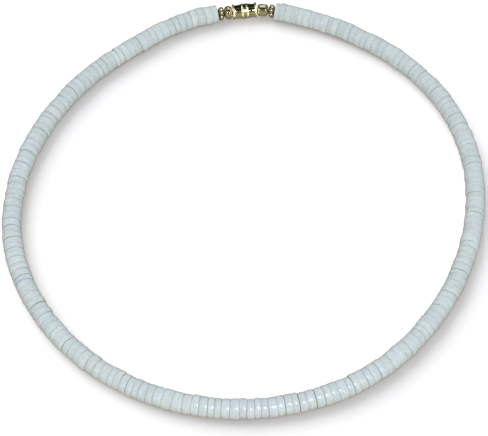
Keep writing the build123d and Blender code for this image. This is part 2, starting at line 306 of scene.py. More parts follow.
class Track:
    """The smooth line through the route, with distances along it from the middle of the clasp."""

    def __init__(self, corners):
        curve = bpy.data.curves.new("route", "CURVE")
        curve.dimensions = "3D"
        curve.resolution_u = ROUTE_STEPS
        spline = curve.splines.new("NURBS")
        spline.points.add(len(corners) - 1)
        for point, corner in zip(spline.points, corners):
            point.co = (*corner, 1)
        spline.order_u = 3
        spline.use_cyclic_u = True
        holder = bpy.data.objects.new("route", curve)
        mesh = bpy.data.meshes.new_from_object(holder)
        points = np.array([vertex.co for vertex in mesh.vertices])
        bpy.data.objects.remove(holder)
        bpy.data.curves.remove(curve)
        bpy.data.meshes.remove(mesh)
        clasp_middle = corners[-1].lerp(corners[0], CLASP_PLACE)
        first = np.linalg.norm(points - np.array(clasp_middle), axis=1).argmin()
        points = np.roll(points, -first, axis=0)
        if np.cross(points[0], points[5] - points[0])[2] < 0:  # they run clockwise
            points = np.roll(points[::-1], 1, axis=0)
        self.points = np.vstack([points, points[:1]])
        steps = np.linalg.norm(np.diff(self.points, axis=0), axis=1)
        self.reach = np.concatenate([[0], np.cumsum(steps)])
        self.length = self.reach[-1]
        self.tree = kdtree.KDTree(len(points))
        for index, point in enumerate(points):
            self.tree.insert(point, index)
        self.tree.balance()

    def point(self, distance):
        return Vector([np.interp(distance, self.reach, self.points[:, axis]) for axis in range(3)])

    def heading(self, distance):
        ahead, behind = self.point(distance + MM), self.point(distance - MM)
        return (ahead - behind).normalized()

    def level_heading(self, distance):
        heading = self.heading(distance)
        heading.z = 0
        return heading.normalized()

    def distance(self, place):
        """Distance along the line of the point that is nearest to a place."""
        spot, index, _ = self.tree.find(place)
        along = self.heading(self.reach[index])
        return self.reach[index] + (Vector(place) - spot).dot(along)


class Disc:
    """A shell disc as the part draws it."""

    def __init__(self, start, end, diameter, shift):
        self.start, self.end, self.diameter, self.shift = start, end, diameter, shift
        self.middle = (start + end) / 2


class Joint:
    """The plane between two discs: a point on the track, its normal, half the gap, and how much the
    joint shows."""

    def __init__(self, middle, normal, gap, shown):
        self.middle, self.normal, self.gap, self.shown = middle, normal, gap, shown


def draw_discs(start, end, loop_length):
    """The discs of every run between two distances along the track."""
    draw = random.Random(DISC_SEED)
    part_length = NECKLACE_LENGTH * (end - start) / loop_length
    run_length = (end - start) / len(RUN_ROOM)
    runs = []
    for share in RUN_ROOM:
        count = round(part_length / len(RUN_ROOM) / (BEAD_ROOM * share))
        weights = [1 + draw.uniform(-ROOM_SPREAD, ROOM_SPREAD) for _ in range(count)]
        discs = []
        for weight in weights:
            room = run_length * weight / sum(weights)
            diameter = BEAD_DIAMETER * (1 + draw.uniform(-DIAMETER_SPREAD, DIAMETER_SPREAD))
            shift = draw.uniform(-BEAD_SIDE_SHIFT, BEAD_SIDE_SHIFT)
            discs.append(Disc(start, start + room, diameter, shift))
            start += room
        runs.append(discs)
    return runs


def draw_joints(track, runs, draw):
    """The joints before each disc, in the order of the route, and the one after the last disc."""
    discs = [disc for run in runs for disc in run]
    joints = []
    for place in [disc.start for disc in discs] + [discs[-1].end]:
        middle, heading = track.point(place), track.level_heading(place)
        turn = Matrix.Rotation(math.radians(draw.gauss(0, FACE_TILT)), 3, UP)
        lean = Matrix.Rotation(math.radians(draw.gauss(0, FACE_TILT)), 3, heading.cross(UP))
        bearing = math.degrees(math.atan2(middle.y, middle.x)) % 360
        shown = float(np.interp(bearing, *zip(*JOINTS_SHOWN)))
        joints.append(Joint(middle, turn @ lean @ heading, draw.uniform(*JOINT_GAP), shown))
    for joint, disc, gap in zip((joints[0], joints[-1]), (discs[0], discs[-1]), END_GAPS):
        joint.normal = track.level_heading(disc.middle)
        joint.gap = gap
    for bearing, gap in OPEN_JOINTS:
        angle = math.radians(bearing)
        toward = Vector((math.cos(angle), math.sin(angle)))
        nearest = max(joints, key=lambda joint: joint.middle.xy.normalized().dot(toward))
        nearest.gap = gap / 2
    return joints


def waves(draw, turns, lowest, highest, size):
    """A smooth irregular ripple round a disc."""
    total = np.zeros_like(turns)
    for number in range(lowest, highest + 1):
        height = draw.uniform(-size, size)
        total += height * np.cos(number * turns + draw.uniform(0, 2 * math.pi)) / number
    return total


def dent(turns, place, width):
    """A bump of height one round a place, as wide as stated in radians."""
    offset = (turns - place + math.pi) % (2 * math.pi) - math.pi
    return np.exp(-((offset / width) ** 2))


def disc_rows(disc, shown, draw):
    """Profile of one disc for every turn: rows of side, distance in from that side's face, radius
    and nearness to a joint. Side is -1 before, 1 after, and between them across the rim."""
    turns = np.linspace(0, 2 * math.pi, DISC_TURNS, endpoint=False)
    level = np.zeros_like(turns)
    radius = disc.diameter / 2
    outline = radius * (1 - OUT_OF_ROUND + waves(draw, turns, *OUTLINE_WAVES, OUT_OF_ROUND))
    if draw.random() < FLAT_CHANCE:
        depth = draw.uniform(*FLAT_DEPTH)
        outline -= depth * dent(turns, draw.uniform(0, 2 * math.pi), draw.uniform(*FLAT_WIDTH))
    outline = np.minimum(outline, radius)
    cone = draw.uniform(-RIM_CONE, RIM_CONE)
    crown = draw.uniform(*RIM_CROWN)
    faces, rim = {}, {}
    for side in (-1, 1):
        edge = draw.uniform(*EDGE_ROUND) * (1 + waves(draw, turns, *EDGE_WAVES, EDGE_WAVE))
        edge *= min(1, EDGE_BASE + shown[side])
        if draw.random() < CHIP_CHANCE * shown[side]:
            place, width = draw.uniform(0, 2 * math.pi), draw.uniform(*CHIP_WIDTH)
            edge += draw.uniform(*CHIP_DEPTH) * dent(turns, place, width)
        edge = np.clip(edge, EDGE_LEAST, EDGE_MOST * (disc.end - disc.start))
        edge_radius = outline + side * cone - crown - abs(cone)
        rows = [
            (side, BORE_EDGE + level, BORE_RADIUS + level, 1.0),
            (side, level, BORE_RADIUS + BORE_EDGE + level, 1.0),
        ]
        rows += [(side, level, share * radius + level, 1.0) for share in FACE_ROWS]
        for step in range(EDGE_STEPS):
            angle = step * math.pi / (2 * (EDGE_STEPS - 1))
            inset = edge * (1 - math.cos(angle))
            row_radius = edge_radius - edge * (1 - math.sin(angle))
            rows.append((side, inset, row_radius, 1 - step / EDGE_STEPS))
        faces[side], rim[side] = rows, edge_radius
    across = []
    bumps = [waves(draw, turns, *RIM_WAVES, RIM_WAVE) for _ in RIM_ROWS]
    for share, bump in zip(RIM_ROWS, bumps):
        mean = rim[-1] * (1 - share) / 2 + rim[1] * (1 + share) / 2
        bulge = (crown + abs(cone)) * (1 - share**2)
        across.append((share, level, np.minimum(mean + bulge + bump, radius), 0.0))
    return turns, faces[-1] + across + faces[1][::-1]


def disc_points(disc, before, after, track, draw):
    """One disc between its two joints: its points row by row, their places in the shell's grain,
    how near they are to a joint that shows, and the disc's tone."""
    heading = track.level_heading(disc.middle)
    side = heading.cross(UP)
    middle = track.point(disc.middle)
    middle = Vector((middle.x, middle.y, disc.diameter / 2)) + side * disc.shift
    shown = {-1: before.shown, 1: after.shown}
    turns, rows = disc_rows(disc, shown, draw)
    across, upward = np.cos(turns), np.sin(turns)
    grain_start = np.array([draw.uniform(-GRAIN_SPREAD, GRAIN_SPREAD) for _ in range(3)])
    tone = draw.random()
    wedges = []
    for end in (-1, 1):
        opening = WEDGE_OPENING * shown[end] * draw.random() ** 3  # cubed, so that few lean far
        wedges.append((opening, draw.uniform(0, 2 * math.pi)))
    points, grain, seams = [], [], []
    for where, inset, radius, seam in rows:
        ring = np.array(middle) + np.outer(radius * across, side) + np.outer(radius * upward, UP)
        ends = []
        for joint, inward, (opening, open_at) in ((before, 1, wedges[0]), (after, -1, wedges[1])):
            to_joint = (np.array(joint.middle) - ring) @ np.array(joint.normal)
            to_joint /= heading.dot(joint.normal)
            wedge = opening * (1 + radius / (disc.diameter / 2) * np.cos(turns - open_at)) / 2
            ends.append(to_joint + inward * (joint.gap + inset + wedge))
        share = (1 + where) / 2
        along = ends[0] * (1 - share) + ends[1] * share
        points.append(ring + np.outer(along, heading))
        local = np.column_stack([along, radius * across, radius * upward]) / MM
        grain.append(local + grain_start)
        seams.extend([seam * (before.shown * (1 - share) + after.shown * share)] * DISC_TURNS)
    points = np.vstack(points)
    points[:, 2] -= points[:, 2].min()
    return points, grain, seams, tone


def make_shell_discs(name, node, discs, joints, track, draw, material):
    """One run of discs as a single mesh, each disc between its two joints."""
    places, grain, seams, tones, quads = [], [], [], [], []
    for disc, before, after in zip(discs, joints[:-1], joints[1:]):
        points, disc_grain, disc_seams, tone = disc_points(disc, before, after, track, draw)
        quads += closed_quads(len(places), len(points) // DISC_TURNS, DISC_TURNS)
        places.extend(points.tolist())
        grain += disc_grain
        seams += disc_seams
        tones += [tone] * len(points)
    mesh = bpy.data.meshes.new(name)
    mesh.from_pydata(places, [], quads)
    mesh.shade_smooth()
    vectors = mesh.attributes.new("grain", "FLOAT_VECTOR", "POINT").data
    vectors.foreach_set("vector", np.vstack(grain).ravel())
    add_attribute(mesh, "tone", tones)
    add_attribute(mesh, "seam", seams)
    return add_piece(name, mesh, node, material)


def closed_quads(start, row_count, turns):
    """Faces between rows of points round an axis, with the last row joined to the first."""
    quads = []
    for row in range(row_count):
        following = (row + 1) % row_count
        for turn in range(turns):
            beside = (turn + 1) % turns
            quads.append((
                start + row * turns + turn,
                start + row * turns + beside,
                start + following * turns + beside,
                start + following * turns + turn,
            ))
    return quads


def add_attribute(mesh, name, values):
    mesh.attributes.new(name, "FLOAT", "POINT").data.foreach_set("value", values)


def add_piece(name, mesh, node, material):
    """Puts a finished mesh in the scene in place of a CAD node."""
    piece = bpy.data.objects.new(name, mesh)
    bpy.context.scene.collection.objects.link(piece)
    mesh.materials.append(material)
    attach(piece, "root")
    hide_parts(node)
    return piece


class Nodes:
    """A material's node tree, with short calls for the nodes that are used here."""

    def __init__(self, tree):
        self.tree = tree
        tree.nodes.clear()

    def add(self, kind, values=(), **settings):
        made = self.tree.nodes.new(kind)
        for setting, value in settings.items():
            setattr(made, setting, value)
        for socket, value in dict(values).items():
            self.fill(made.inputs[socket], value)
        return made

    def fill(self, socket, value):
        if isinstance(value, bpy.types.NodeSocket):
            self.tree.links.new(value, socket)
        else:
            socket.default_value = value

    def place(self):
        """Where a point is on the object, in metres."""
        return self.add("ShaderNodeTexCoord").outputs["Object"]

    def split(self, vector):
        return self.add("ShaderNodeSeparateXYZ", {"Vector": vector}).outputs

    def attribute(self, name, output):
        return self.add("ShaderNodeAttribute", attribute_name=name).outputs[output]

    def noise(self, vector, scale, detail=4.0, distortion=0.0):
        values = {"Vector": vector, "Scale": scale, "Detail": detail, "Distortion": distortion}
        return self.add("ShaderNodeTexNoise", values).outputs["Fac"]

    def stretch(self, vector, scale):
        made = self.add("ShaderNodeMapping", {"Vector": vector, "Scale": scale})
        return made.outputs["Vector"]

    def remap(self, value, low, high, new_low=0.0, new_high=1.0):
        values = {"Value": value, "From Min": low, "From Max": high}
        values |= {"To Min": new_low, "To Max": new_high}
        return self.add("ShaderNodeMapRange", values).outputs["Result"]

    def math(self, operation, first, second=0.0):
        return self.add("ShaderNodeMath", {0: first, 1: second}, operation=operation).outputs[0]

    def mix(self, factor, first, second, blend="MIX"):
        """Mixes two colours. Inputs 6 and 7 and output 2 are the node's colour sockets."""
        made = self.add("ShaderNodeMix", {"Factor": factor}, data_type="RGBA", blend_type=blend)
        for number, value in ((6, first), (7, second)):
            self.fill(made.inputs[number], (*value, 1) if isinstance(value, tuple) else value)
        return made.outputs[2]

    def tint(self, colour, value, start, full, share, other):
        """Mixes in another colour as a value goes from its start to full, up to a share."""
        return self.mix(self.remap(value, start, full, 0.0, share), colour, other)

    def ramp(self, value, stops):
        made = self.add("ShaderNodeValToRGB", {"Fac": value})
        elements = made.color_ramp.elements
        while len(elements) < len(stops):
            elements.new(1.0)
        for element, (place, colour) in zip(elements, stops):
            element.position = place
            element.color = (*colour, 1)
        return made.outputs["Color"]

    def bump(self, height, distance, strength, normal=None):
        values = {"Height": height, "Distance": distance, "Strength": strength}
        if normal is not None:
            values["Normal"] = normal
        return self.add("ShaderNodeBump", values).outputs["Normal"]

    def finish(self, shader):
        self.add("ShaderNodeOutputMaterial", {"Surface": shader.outputs[0]})


def new_material(name):
    material = bpy.data.materials.new(name)
    material.use_nodes = True
    return material, Nodes(material.node_tree)


def shell_material():
    """Polished white shell, slightly translucent and faintly layered, each disc with its own tone. It
    has pits, dirt and painted shade at the joints, painted floor bounce and shade low on every disc,
    and painted shade low on the discs at the front."""
    material, nodes = new_material("white_shell")
    grain = nodes.attribute("grain", "Vector")
    tone = nodes.attribute("tone", "Fac")
    seam = nodes.attribute("seam", "Fac")
    layers = nodes.noise(nodes.stretch(grain, LAYER_STRETCH), 1.0, 3.0, 0.5)
    growth = nodes.noise(nodes.stretch(grain, GROWTH_STRETCH), 1.0, 4.0, 0.6)
    cloud = nodes.noise(grain, 0.8, 5.0, 0.8)
    colour = SHELL_COLOUR
    for value, over in (
        (tone, GREEN_TONE),
        (tone, LAVENDER_TONE),
        (tone, CREAM_TONE),
        (layers, LAYERS),
        (growth, GROWTH),
        (cloud, CLOUDS),
    ):
        colour = nodes.tint(colour, value, *over)
    speckle = nodes.remap(nodes.noise(grain, 3.5, 3.0), 0.3, 0.7, *SPECKLE)
    colour = nodes.mix(1.0, colour, speckle, "MULTIPLY")
    place = nodes.split(nodes.place())
    # Painted warm floor bounce and shade, low on every disc
    colour = nodes.tint(colour, place["Z"], *UNDERSIDE_BOUNCE_SHADE)
    # Painted shade on the lower half of the discs at the front
    front, low = nodes.remap(place["Y"], *FRONT), nodes.remap(place["Z"], *PAINTED_FRONT_SHADE)
    colour = nodes.mix(nodes.math("MULTIPLY", front, low), colour, PAINTED_FRONT_SHADE_COLOUR)
    shuffled_tone = nodes.math("FRACT", nodes.math("MULTIPLY", tone, TONE_SHUFFLE))
    disc_light = nodes.remap(shuffled_tone, 0.0, 1.0, *DISC_LIGHT)
    colour = nodes.mix(1.0, colour, disc_light, "MULTIPLY")
    # Dirt and painted shade in the joints, less in the clouds
    patches = nodes.remap(cloud, 0.3, 0.6, *JOINT_DIRT_AND_SHADE_SHARE)
    dirt_and_shade = nodes.math("MULTIPLY", nodes.math("POWER", seam, JOINT_DIRT_AND_SHADE_POWER), patches)
    colour = nodes.mix(dirt_and_shade, colour, JOINT_DIRT_AND_SHADE_COLOUR)
    cells = {"Vector": grain, "Scale": PIT_SCALE, "Randomness": 1.0}
    from_pit = nodes.add("ShaderNodeTexVoronoi", cells).outputs["Distance"]
    pit = nodes.remap(from_pit, 0.0, PIT_WIDTH, 1.0, 0.0)
    colour = nodes.mix(nodes.math("MULTIPLY", pit, PIT_SHARE), colour, PIT_COLOUR)
    normal = nodes.bump(nodes.noise(grain, 1.1, 3.0), *RIPPLE_BUMP)
    normal = nodes.bump(growth, *GROWTH_BUMP, normal)
    normal = nodes.bump(nodes.math("SUBTRACT", 1.0, pit), *PIT_BUMP, normal)
    roughness = nodes.remap(nodes.noise(grain, 2.5, 4.0), 0.3, 0.7, *SHELL_ROUGHNESS)
    cloud_roughness = nodes.remap(cloud, 0.5, 0.65, *CLOUD_ROUGHNESS)
    shader = nodes.add("ShaderNodeBsdfPrincipled", {
        "Base Color": colour,
        "Roughness": nodes.math("MAXIMUM", roughness, cloud_roughness),
        "Normal": normal,
        "IOR": 1.53,
        "Coat Weight": 0.6,
        "Coat Roughness": 0.2,
        "Coat IOR": 1.55,
        "Subsurface Weight": 0.3,
        "Subsurface Radius": (0.8, 1.0, 1.0),
        "Subsurface Scale": 0.9 * MM,
    })
    nodes.finish(shader)
    return material


def gold_material(name, colour, worn_colour, dull, smooth):
    """Gold-coloured plating with fine scratches, paler and duller where raised rings are rubbed and
    dark where it is tarnished."""
    material, nodes = new_material(name)
    place = nodes.place()
    wear = nodes.noise(place, WEAR_SCALE, 4.0, 0.5)
    rubbed = nodes.attribute("rubbed", "Fac")
    colour = nodes.tint(colour, wear, *WORN, worn_colour)
    colour = nodes.mix(rubbed, colour, RUBBED_COLOUR)
    colour = nodes.mix(nodes.attribute("tarnish", "Fac"), colour, TARNISH_COLOUR)
    scratches = nodes.noise(nodes.stretch(place, SCRATCH_STRETCH), 1.0, 2.0)
    roughness = nodes.remap(wear, 0.3, 0.7, smooth, dull)
    rubbed_roughness = nodes.math("MULTIPLY", rubbed, RUBBED_ROUGHNESS)
    shader = nodes.add("ShaderNodeBsdfPrincipled", {
        "Base Color": colour,
        "Metallic": 1.0,
        "Roughness": nodes.math("MAXIMUM", roughness, rubbed_roughness),
        "Normal": nodes.bump(scratches, *SCRATCH_BUMP),
    })
    nodes.finish(shader)
    return material


def thread_material():
    """Clear-white nylon cord with a faint twist."""
    material, nodes = new_material("thread")
    fibres = nodes.noise(nodes.place(), FIBRE_SCALE, 3.0)
    shader = nodes.add("ShaderNodeBsdfPrincipled", {
        "Base Color": nodes.mix(fibres, *THREAD_COLOURS),
        "Roughness": 0.55,
        "Normal": nodes.bump(fibres, *FIBRE_BUMP),
    })
    nodes.finish(shader)
    return material


def arc_between(start, end, bulge, steps=12):
    """Points of a shallow arc, without its last one. Bulge is its height over the chord, outwards."""
    (x0, r0), (x1, r1) = start, end
    points = []
    for step in range(steps):
        share = step / steps
        out = r0 + (r1 - r0) * share + bulge * 4 * share * (1 - share)
        points.append((x0 + (x1 - x0) * share, out))
    return points


def arc_radius(half_chord, height):
    return (half_chord**2 + height**2) / (2 * height)


def rounded(corners, steps=5):
    """A closed outline from corners given as (along, out, rounding)."""
    outline = []
    for index, (x, r, rounding) in enumerate(corners):
        corner = Vector((x, r))
        if rounding == 0:
            outline.append(corner)
            continue
        before = Vector(corners[index - 1][:2]) - corner
        after = Vector(corners[(index + 1) % len(corners)][:2]) - corner
        cut = min(rounding, 0.49 * before.length, 0.49 * after.length)
        start, end = corner + before.normalized() * cut, corner + after.normalized() * cut
        for step in range(steps + 1):
            t = step / steps
            outline.append(start * (1 - t) ** 2 + corner * 2 * t * (1 - t) + end * t**2)
    return outline


def turned(outline, turns=LATHE_TURNS):
    """Points and faces of a closed outline turned about the X axis, in millimetres."""
    places = []
    for point in outline:
        for turn in range(turns):
            angle = 2 * math.pi * turn / turns
            places.append((point[0], point[1] * math.cos(angle), point[1] * math.sin(angle)))
    return places, closed_quads(0, len(outline), turns)


def ball(radius, rings=24, turns=36):
    """Points and faces of a ball."""
    places = [(-radius, 0, 0)]
    for ring in range(1, rings):
        angle = math.pi * ring / rings
        for turn in range(turns):
            around = 2 * math.pi * turn / turns
            out = radius * math.sin(angle)
            places.append((-radius * math.cos(angle), out * math.cos(around), out * math.sin(around)))
    places.append((radius, 0, 0))
    faces = []
    last = len(places) - 1
    for turn in range(turns):
        beside = (turn + 1) % turns
        faces.append((0, 1 + beside, 1 + turn))
        faces.append((last, last - turns + turn, last - turns + beside))
        for ring in range(rings - 2):
            a, b = 1 + ring * turns, 1 + (ring + 1) * turns
            faces.append((a + turn, a + beside, b + beside, b + turn))
    return places, faces


def ring_arc(middle, top, low_before, low_after, steps=16):
    """A ring's half-round rim, from the surface before it to the surface after it."""
    radius = RING_WIDTH / 2
    rim = []
    for step in range(steps + 1):
        angle = math.pi * step / steps
        x, r = middle - radius * math.cos(angle), top - radius + radius * math.sin(angle)
        if (x > middle or r > low_before) and (x < middle or r > low_after):
            rim.append((x, r, 0))
    return [(middle - radius, low_before, 0), *rim, (middle + radius, low_after, 0)]


def clasp_outline(is_socket):
    """Outline of a clasp half, outwards from the middle of the clasp."""
    end = CLASP_LENGTH / 2
    neck, ring = NECK_DIAMETER / 2, NECK_DIAMETER / 2 + RING_HEIGHT
    mouth, barrel_end = BARREL_MOUTH_DIAMETER / 2, BARREL_END_DIAMETER / 2
    barrel_start = (MOUTH_RING_OFFSET + RING_WIDTH / 2, mouth)
    chamber_end = end - END_WALL
    outline = [
        (MOUTH_GAP / 2, neck, 0.05),
        (MOUTH_GAP / 2 + NECK_FLAT[0], neck, 0),
        (MOUTH_RING_OFFSET - RING_WIDTH / 2 - NECK_FLAT[1], neck, 0),
    ]
    outline += ring_arc(MOUTH_RING_OFFSET, ring, neck, mouth)
    barrel = arc_between(barrel_start, (end - RING_WIDTH, barrel_end), -BARREL_HOLLOW)
    outline += [(x, r, 0) for x, r in barrel[1:]]
    outline += ring_arc(end - RING_WIDTH / 2, ring, barrel_end, barrel_end)
    outline += [(end - depth, radius, 0.1) for depth, radius in END_DISH]
    outline += [
        (end - END_DISH[-1][0], THREAD_BORE, 0.08),
        (chamber_end, THREAD_BORE, 0.05),
        (chamber_end, KNOT_CHAMBER_RADIUS, 0.05),
    ]
    if is_socket:
        depth, radius = STUD_LENGTH + STUD_CLEARANCE, STUD_RADIUS + STUD_CLEARANCE
        outline += [
            (depth, KNOT_CHAMBER_RADIUS, 0.05),
            (depth, radius, 0.05),
            (MOUTH_GAP / 2, radius, 0.08),
        ]
    else:
        outline += [
            (-STUD_LENGTH, KNOT_CHAMBER_RADIUS, 0.08),
            (-STUD_LENGTH, STUD_RADIUS, 0.12),
            (MOUTH_GAP / 2, STUD_RADIUS, 0.05),
        ]
    return rounded(outline)


def drilled(side, half):
    """A bead's outline from its side, closed along the thread's bore."""
    bore = [(half, THREAD_BORE, METAL_BORE_EDGE), (-half, THREAD_BORE, METAL_BORE_EDGE)]
    return rounded(side + bore)


def round_bead_outline(steps=24):
    half, end, belly = ROUND_BEAD_LENGTH / 2, ROUND_BEAD_END_DIAMETER / 2, ROUND_BEAD_DIAMETER / 2
    radius = arc_radius(half, belly - end)
    side = []
    for step in range(steps + 1):
        x = -half + 2 * half * step / steps
        edge = BEAD_END_EDGE if step in (0, steps) else 0
        side.append((x, belly - radius + math.sqrt(radius**2 - x**2), edge))
    return drilled(side, half)


def long_bead_outline(steps=12):
    half, end, belly = LONG_BEAD_LENGTH / 2, LONG_BEAD_END_DIAMETER / 2, LONG_BEAD_DIAMETER / 2
    radius = arc_radius(LONG_BEAD_SHOULDER, belly - end)
    shoulder = []
    for step in range(steps + 1):
        x = LONG_BEAD_SHOULDER * step / steps
        out = belly - radius + math.sqrt(radius**2 - x**2)
        shoulder.append((half - LONG_BEAD_SHOULDER + x, out, 0))
    return drilled([(-x, r, 0) for x, r, _ in reversed(shoulder)] + shoulder, half)


def lay_mesh(mesh, middle, heading):
    """Puts a mesh in millimetres, with X along the thread, where its piece lies."""
    side = UP.cross(heading).normalized()
    turn = Matrix((heading, side, heading.cross(side))).transposed().to_4x4()
    mesh.transform(Matrix.Translation(middle) @ turn @ Matrix.Scale(MM, 4))
    mesh.shade_smooth()


def turned_mesh(name, outline, middle, heading):
    mesh = bpy.data.meshes.new(name)
    places, quads = turned(outline)
    mesh.from_pydata(places, [], quads)
    mesh.validate()
    lay_mesh(mesh, middle, heading)
    return mesh


def rise(value, start, length):
    """0 up to a start, 1 from a length past it, and even between the two."""
    return max(0.0, min(1.0, (value - start) / length))


def spacer_mesh(name, middle, heading):
    """A flower spacer: hub and grains, run together as by solder."""
    half, hub = SPACER_LENGTH / 2, SPACER_HUB_DIAMETER / 2
    places, faces = turned(drilled([(-half, hub, HUB_EDGE), (half, hub, HUB_EDGE)], half))
    ball_places, ball_faces = ball(GRAIN_DIAMETER / 2)
    out = GRAIN_CIRCLE_DIAMETER / 2
    grains = []
    for number in range(GRAIN_COUNT):
        angle = math.radians(GRAIN_TURN + 360 * number / GRAIN_COUNT)
        grain_y, grain_z = out * math.sin(angle), out * math.cos(angle)
        grains.append(Vector((0, grain_y, grain_z)))
        start = len(places)
        places += [(x, y + grain_y, z + grain_z) for x, y, z in ball_places]
        faces += [tuple(start + index for index in face) for face in ball_faces]
    loose = bpy.data.meshes.new(name + "_loose")
    loose.from_pydata(places, [], faces)
    holder = bpy.data.objects.new(name + "_loose", loose)
    bpy.context.scene.collection.objects.link(holder)
    solder = holder.modifiers.new("solder", "REMESH")
    solder.mode = "VOXEL"
    solder.voxel_size = SOLDER_VOXEL
    smooth = holder.modifiers.new("smooth", "SMOOTH")
    smooth.iterations = SOLDER_ROUNDS
    smooth.factor = 0.5
    graph = bpy.context.evaluated_depsgraph_get()
    mesh = bpy.data.meshes.new_from_object(holder.evaluated_get(graph))
    mesh.name = name
    bpy.data.objects.remove(holder)
    bpy.data.meshes.remove(loose)
    tarnish = []
    for vertex in mesh.vertices:
        depth = min((vertex.co - grain).length for grain in grains) - GRAIN_DIAMETER / 2
        tarnish.append(rise(depth, *TARNISH_RISE))
    add_attribute(mesh, "tarnish", tarnish)
    lay_mesh(mesh, middle, heading)
    return mesh


def centre(node):
    low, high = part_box(node)
    return (low + high) / 2


def make_metal(corners, first_disc, last_disc, polished, satin):
    """Clasp halves, beads and spacers, each along the line between its neighbours."""
    to_left = (corners[0] - corners[-1]).normalized()
    middle = corners[-1].lerp(corners[0], CLASP_PLACE)
    middle.z = (NECK_DIAMETER / 2 + RING_HEIGHT) * MM
    clasp, beads, spacers = [], [], []
    for name, node, outward in (
        ("socket_half", "clasp_socket", to_left),
        ("screw_half", "clasp_screw", -to_left),
    ):
        outline = clasp_outline(node == "clasp_socket")
        mesh = turned_mesh(name, outline, middle, outward)
        rubbed = [rise(r - NECK_DIAMETER / 2, *RUBBED_RISE) for _, r in outline]
        add_attribute(mesh, "rubbed", np.repeat(rubbed, LATHE_TURNS))
        clasp.append(add_piece(name, mesh, node, polished))
    reach = CLASP_LENGTH / 2 * MM
    left = [middle + to_left * reach, centre("round_bead"), centre("spacer_left"), first_disc]
    right = [middle - to_left * reach, centre("long_bead"), centre("spacer_right"), last_disc]
    for chain, bead, outline, spacer in (
        (left, "round_bead", round_bead_outline(), "spacer_left"),
        (right, "long_bead", long_bead_outline(), "spacer_right"),
    ):
        name, heading = bead + "_metal", (chain[2] - chain[0]).normalized()
        mesh = turned_mesh(name, outline, chain[1], heading)
        beads.append(add_piece(name, mesh, bead, satin))
        name, heading = spacer + "_metal", (chain[3] - chain[1]).normalized()
        mesh = spacer_mesh(name, chain[2], heading)
        spacers.append(add_piece(name, mesh, spacer, satin))
    return clasp, beads, spacers


def emission(name, colour, strength):
    material, nodes = new_material(name)
    nodes.finish(nodes.add("ShaderNodeEmission", {"Color": (*colour, 1), "Strength": strength}))
    return material


def reflect_only(thing):
    """Puts a thing in the scene that shows only in reflections."""
    bpy.context.scene.collection.objects.link(thing)
    thing.visible_camera = False
    thing.visible_diffuse = False
    thing.visible_transmission = False
    thing.visible_volume_scatter = False
    thing.visible_shadow = False


def show_only_in(source, pieces):
    """Keeps a light, or a bright thing, from all but some pieces."""
    receivers = bpy.data.collections.new(source.name + "_seen_in")
    for piece in pieces:
        receivers.objects.link(piece)
    source.light_linking.receiver_collection = receivers


def add_card(name, sideways, tilt, width, height, colour, strength):
    """A bright card far away that only reflections see."""
    tilt, rest = math.radians(tilt), math.sqrt(1 - sideways**2)
    direction = Vector((sideways, -rest * math.sin(tilt), rest * math.cos(tilt)))
    across = CARD_DISTANCE * math.radians(width) / 2
    tall = CARD_DISTANCE * math.radians(height) / 2
    mesh = bpy.data.meshes.new(name)
    corners = [(-across, -tall, 0), (across, -tall, 0), (across, tall, 0), (-across, tall, 0)]
    mesh.from_pydata(corners, [], [(0, 1, 2, 3)])
    mesh.materials.append(emission(name, colour, strength))
    card = bpy.data.objects.new(name, mesh)
    card.location = direction * CARD_DISTANCE
    card.rotation_mode = "QUATERNION"
    card.rotation_quaternion = (-direction).to_track_quat("Z", "Y")
    reflect_only(card)
    return card


def make_reflections():
    """A dark room that only glossy surfaces see, lighter at its two sides, with bright cards in it."""
    material, nodes = new_material("dark_room")
    place = nodes.split(nodes.place())
    tilt = nodes.math("ARCTAN2", nodes.math("MULTIPLY", place["Y"], -1.0), place["Z"])
    stops = [((angle + 180) / 360, colour) for angle, colour in ROOM_BANDS]
    bands = nodes.ramp(nodes.remap(tilt, -math.pi, math.pi), stops)
    above = nodes.remap(place["Z"], -HORIZON * ROOM_RADIUS, HORIZON * ROOM_RADIUS)
    sides = nodes.mix(above, (SIDE_BELOW,) * 3, (SIDE_ABOVE,) * 3)
    sideways = nodes.math("ABSOLUTE", place["X"])
    share = nodes.remap(sideways, SIDE_START * ROOM_RADIUS, SIDE_FULL * ROOM_RADIUS)
    colour = nodes.mix(share, bands, sides)
    nodes.finish(nodes.add("ShaderNodeEmission", {"Color": colour, "Strength": 1.0}))
    places, faces = ball(ROOM_RADIUS, *ROOM_MESH)
    mesh = bpy.data.meshes.new("dark_room")
    mesh.from_pydata([(y, z, x) for x, y, z in places], [], faces)
    mesh.materials.append(material)
    reflect_only(bpy.data.objects.new("dark_room", mesh))
    for number, card in enumerate(CARDS, start=1):
        add_card(f"card_{number}", *card)


def make_bright_sides(pieces):
    """Two bright caps of the room, left and right, that only some pieces reflect."""
    places, faces = ball(CAPS_RADIUS, *ROOM_MESH)
    limit = CAPS_START * CAPS_RADIUS
    caps = [face for face in faces if min(abs(places[index][0]) for index in face) > limit]
    mesh = bpy.data.meshes.new("bright_sides")
    mesh.from_pydata(places, [], caps)
    mesh.materials.append(emission("bright_side", WHITE, CAPS_STRENGTH))
    sides = bpy.data.objects.new("bright_sides", mesh)
    reflect_only(sides)
    show_only_in(sides, pieces)


